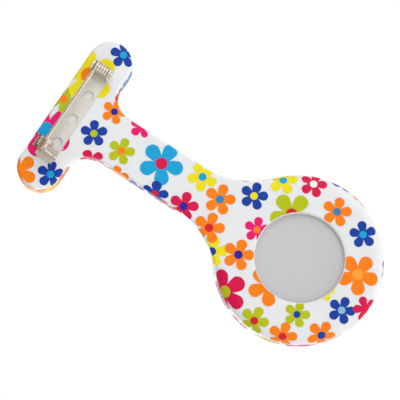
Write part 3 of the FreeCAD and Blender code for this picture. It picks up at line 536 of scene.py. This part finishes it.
def flower(print_sheet, skin, level, anchor, upward, reach, petals, middle, turn):
    """Lay one flower on the silicone: a round middle, bridged out to the petals' outline."""
    place, normal, _, _ = skin.find_nearest(anchor)
    along = (upward - normal * upward.dot(normal)).normalized()
    across = along.cross(normal)
    petal_rings = math.ceil(reach * (1 - MIDDLE) / RING_GAP)
    reaches = [MIDDLE / 3, MIDDLE * 2 / 3, MIDDLE]
    reaches += [MIDDLE + (1 - MIDDLE) * (number + 1) / petal_rings
                for number in range(petal_rings)]
    rings = []
    for ring in reaches:
        rings.append(bmesh.ops.create_circle(print_sheet, cap_ends=not rings, segments=RAYS,
                                             radius=ring * reach * MM)["verts"])
    cap = rings[0][0].link_faces[0]
    cap.material_index = INK_ORDER.index(middle)
    hub = bmesh.ops.poke(print_sheet, faces=[cap])["verts"][0]
    for inner, outer, ring in zip(rings, rings[1:], reaches[1:]):
        loops = {edge for vertex in inner + outer for edge in vertex.link_edges}
        loops = [edge for edge in loops if hub not in edge.verts
                 and (set(edge.verts) <= set(inner) or set(edge.verts) <= set(outer))]
        band = bmesh.ops.bridge_loops(print_sheet, edges=loops)["faces"]
        ink = INK_ORDER.index(middle if ring <= MIDDLE else petals)
        for face in band:
            face.material_index = ink
    lift = (INK_LIFT + INK_STEP * level) * MM
    hub.co = lips(place) + normal * lift
    for ray in range(RAYS):
        angle = math.tau * ray / RAYS
        edge_reach = petal_reach(angle)
        heading = along * math.cos(angle + turn) + across * math.sin(angle + turn)
        spot, gone = (place, normal), 0.0
        for ring, made in zip(reaches, rings):
            part = max(0.0, (ring - MIDDLE) / (1 - MIDDLE))
            distance = (min(ring, MIDDLE) + (edge_reach - MIDDLE) * part) * reach * MM
            spot, heading = walk(skin, spot, heading, distance - gone)
            gone = distance
            made[ray].co = lips(spot[0]) + spot[1] * lift
    faces = {face for made in rings for vertex in made for face in vertex.link_faces}
    for face in faces:
        face.normal_update()
    inward = [face for face in faces if face.normal.dot(normal) < 0]
    if len(inward) * 2 > len(faces):
        bmesh.ops.reverse_faces(print_sheet, faces=list(faces))


def flower_places():
    """Each flower's anchor, upward way, reach, inks and turn: back, front, sides, then rim."""
    up, forwards = Vector((0, 0, 1)), Vector((0, -1, 0))
    for depth, rows in ((-1, BACK_FLOWERS), (12, FRONT_FLOWERS)):
        for x, z, reach, petals, middle, turn in rows:
            yield at(x, depth, z), up, reach, petals, middle, math.radians(turn)
    for x, depth, z, reach, petals, middle in SIDE_FLOWERS:
        yield at(x, depth, z), forwards, reach, petals, middle, x
    for order in range(RIM_COUNT):
        petals, middle = RIM_FLOWERS[order % len(RIM_FLOWERS)]
        around = math.tau * (order + 0.5) / RIM_COUNT
        outward = Vector((math.sin(around), 0, math.cos(around)))
        if outward.z <= STEM_ARC:
            anchor = Vector((0, -RIM_FORWARD * MM, HEAD_Z)) + outward * RIM_OUT * MM
            yield anchor, forwards, 3.1 + 0.5 * (order % 3), petals, middle, around


def printed_flowers(skin):
    """All the flowers as one print, lifted by four levels in turn so that overlaps stay clean."""
    sheet = bmesh.new()
    for order, place in enumerate(flower_places()):
        flower(sheet, skin, order % INK_LEVELS, *place)
    bmesh.ops.dissolve_degenerate(sheet, edges=sheet.edges, dist=0.002 * MM)
    piece("flower_print", sheet, "hanger", "silicone", *INKS.values(), smooth=60.0)


# ---------------------------------------------------------------- dial print

NUMERAL_MM = 2.5
NUMERAL_RADIUS = 9.9
TRACK_RADIUS = 12.2
PRINT_LIFT = 0.012
HOUR_MARK = (0.34, 1.0)
MINUTE_MARK = (0.13, 0.55)
TRACK_EDGE = TRACK_RADIUS + 0.6

# The wearer reads the watch from above, so the dial's twelve is at the bottom.
WEARER = Matrix(((-1, 0, 0), (0, 0, -1), (0, -1, 0))).to_4x4()


def dial_print():
    """Pad-printed hour numbers and a minute track, in black, read from above."""
    shape = bmesh.new()
    face = Matrix.Translation((0, DIAL_FACE - PRINT_LIFT * MM, HEAD_Z)) @ WEARER
    for minute in range(60):
        width, length = HOUR_MARK if minute % 5 == 0 else MINUTE_MARK
        mark = bmesh.ops.create_grid(shape, x_segments=1, y_segments=1, size=0.5)["verts"]
        place = (face @ Matrix.Rotation(-math.tau * minute / 60, 4, "Z")
                 @ Matrix.Translation((0, (TRACK_EDGE - length / 2) * MM, 0))
                 @ Matrix.Diagonal((width * MM, length * MM, 1, 1)))
        bmesh.ops.transform(shape, verts=mark, matrix=place)
    for hour in range(1, 13):
        words = bpy.data.curves.new("numeral", "FONT")
        words.body = str(hour)
        words.size = NUMERAL_MM * MM
        words.align_x = "CENTER"
        words.align_y = "CENTER"
        holder = bpy.data.objects.new("numeral", words)
        bpy.context.scene.collection.objects.link(holder)
        bpy.context.view_layer.update()
        flat = bpy.data.meshes.new_from_object(holder)
        angle = math.tau * hour / 12
        flat.transform(face @ Matrix.Translation((NUMERAL_RADIUS * MM * math.sin(angle),
                                                  NUMERAL_RADIUS * MM * math.cos(angle), 0)))
        shape.from_mesh(flat)
        bpy.data.objects.remove(holder)
        bpy.data.curves.remove(words)
        bpy.data.meshes.remove(flat)
    piece("dial_print", shape, "hanger", "hand_black", NODE_FINISHES["hand_black"])


# ---------------------------------------------------------------- studio

FLOOR_GAP = 0.2
CAMERA_PLACE = (66.2, 370.0, -65.8)
CAMERA_TARGET = (1.3, 0.0, -37.9)
CAMERA_UP = (-0.8406, 0.0, 0.5417)
HALF_WIDTH_MM = 49.1

# Each soft box: place in metres, width in metres, power in watts.
SOFTBOXES = {
    "key_softbox": ((-0.35, 0.45, 0.15), 0.30, 0.72),
    "fill_softbox": ((0.45, 0.40, -0.05), 0.25, 0.2),
    "front_softbox": ((0.10, -0.55, 0.10), 0.40, 0.9),
}


def pale_floor():
    """A matt white card under the head, lit a little from within so that it stays pale."""
    floor = bmesh.new()
    bmesh.ops.create_grid(floor, x_segments=1, y_segments=1, size=1.2)
    bmesh.ops.translate(floor, verts=floor.verts, vec=(0, 0, HANGER_LOW.z - FLOOR_GAP * MM))
    mesh = bpy.data.meshes.new("floor")
    floor.to_mesh(mesh)
    floor.free()
    stage = bpy.data.objects.new("floor", mesh)
    bpy.context.scene.collection.objects.link(stage)
    card, shader = new_material("matt_white_card", "#DCDCDC", 0.0, 0.9, Emission_Strength=0.6)
    shader.inputs["Emission Color"].default_value = linear("#FFFFFF")
    mesh.materials.append(card)


def surround():
    """A white world: plain to the camera, shaded for fill, dark and bright cards in metal."""
    world = bpy.data.worlds.new("studio")
    bpy.context.scene.world = world
    world.use_nodes = True
    background = world.node_tree.nodes["Background"]
    rays = add(world, "ShaderNodeLightPath")
    place = add(world, "ShaderNodeTexCoord")
    apart = add(world, "ShaderNodeSeparateXYZ", Vector=place.outputs["Generated"])
    shade = add(world, "ShaderNodeMapRange",
                {"From Min": -1.0, "From Max": 1.0, "To Min": 0.80, "To Max": 0.34},
                Value=apart.outputs["X"])
    turned_place = add(world, "ShaderNodeMapping", {"Rotation": (0.5, 0.9, 0.6)},
                       Vector=place.outputs["Generated"])
    cards = add(world, "ShaderNodeTexWave", {"Scale": 1.7, "Distortion": 4.0, "Detail": 1.0,
                                             "wave_type": "BANDS"},
                Vector=turned_place.outputs["Vector"])
    mirrored = add(world, "ShaderNodeMapRange",
                   {"From Min": 0.45, "From Max": 0.65, "To Min": 0.01, "To Max": 1.3},
                   Value=cards.outputs["Fac"])
    seen = add(world, "ShaderNodeMix", {"data_type": "FLOAT"})
    world.node_tree.links.new(rays.outputs["Is Glossy Ray"], seen.inputs["Factor"])
    world.node_tree.links.new(shade.outputs["Result"], seen.inputs["A"])
    world.node_tree.links.new(mirrored.outputs["Result"], seen.inputs["B"])
    bright = add(world, "ShaderNodeMix", {"data_type": "FLOAT", "B": 1.0},
                 Factor=rays.outputs["Is Camera Ray"], A=seen.outputs["Result"])
    world.node_tree.links.new(bright.outputs["Result"], background.inputs["Strength"])
    background.inputs["Color"].default_value = (1.0, 1.0, 1.0, 1.0)


def softboxes():
    """Three broad soft lights aimed at the middle of the watch."""
    for name, (place, size, power) in SOFTBOXES.items():
        lamp = bpy.data.lights.new(name, "AREA")
        lamp.size = size
        lamp.energy = power
        bulb = bpy.data.objects.new(name, lamp)
        bulb.location = place
        aim = Vector((0, 0, HEAD_Z / 2)) - Vector(place)
        bulb.rotation_euler = aim.to_track_quat("-Z", "Y").to_euler()
        bpy.context.scene.collection.objects.link(bulb)


def camera():
    """A long lens from behind, rolled so that the T-bar points up to the left."""
    made = bpy.data.cameras.new("camera")
    made.sensor_width = 36.0
    made.clip_start = 0.01
    stand = bpy.data.objects.new("camera", made)
    bpy.context.scene.collection.objects.link(stand)
    place = Vector(CAMERA_PLACE) * MM
    target = Vector(CAMERA_TARGET) * MM
    forward = (target - place).normalized()
    made.angle = 2 * math.atan(HALF_WIDTH_MM * MM / (target - place).length)
    across = forward.cross(Vector(CAMERA_UP)).normalized()
    upward = across.cross(forward)
    turn = Matrix((across, upward, -forward)).transposed()
    stand.matrix_world = Matrix.Translation(place) @ turn.to_4x4()
    bpy.context.scene.camera = stand
    bpy.context.scene.view_settings.view_transform = "Standard"


# ---------------------------------------------------------------- the whole watch

finish_nodes()
silicone_hanger()
printed_flowers(print_form())
dial_print()
pale_floor()
surround()
softboxes()
camera()
